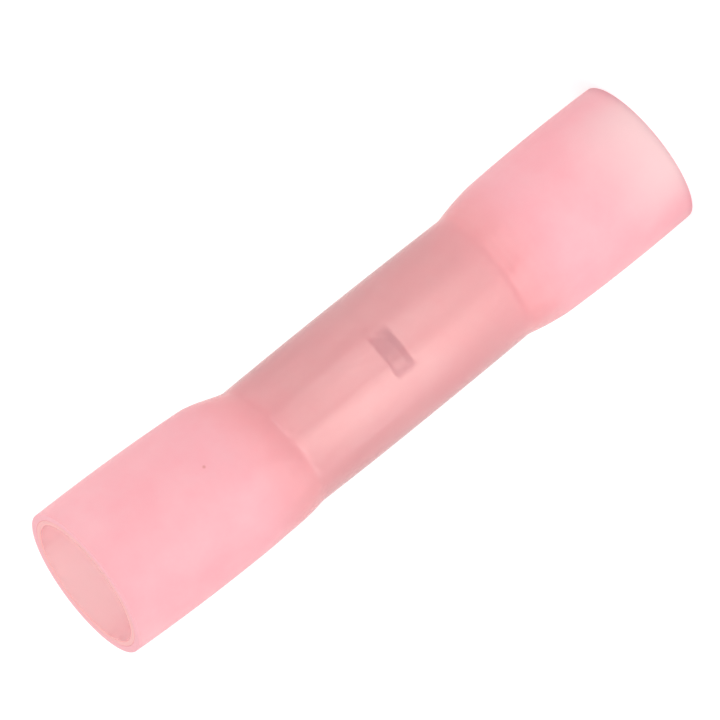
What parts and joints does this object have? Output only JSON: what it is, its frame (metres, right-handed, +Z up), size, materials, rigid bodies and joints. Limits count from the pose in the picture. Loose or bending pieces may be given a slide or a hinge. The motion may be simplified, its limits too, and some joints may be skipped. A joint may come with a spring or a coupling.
{
  "type": "heat shrink butt connector",
  "caption": "Translucent pink heat shrink tube with an adhesive lining, shrunk onto a tinned copper crimp barrel that joins the ends of two wires and seals them.",
  "frame": {"origin": "centre of the lower open mouth, in the plane of its rim", "axes": "+Z up the connector from the lower mouth to the upper one, with the upper end leaning a little towards +X; the pressed wire stop of the barrel faces -Y"},
  "size_m": [0.0115, 0.011, 0.0477],
  "materials": {
    "pink_heat_shrink": "satin",
    "hot_melt_adhesive": "satin",
    "tinned_copper": "satin"
  },
  "bodies": {
    "root": {"heat_shrink_sleeve": "pink_heat_shrink", "adhesive_lining": "hot_melt_adhesive", "crimp_barrel": "tinned_copper"}
  },
  "joints": []
}
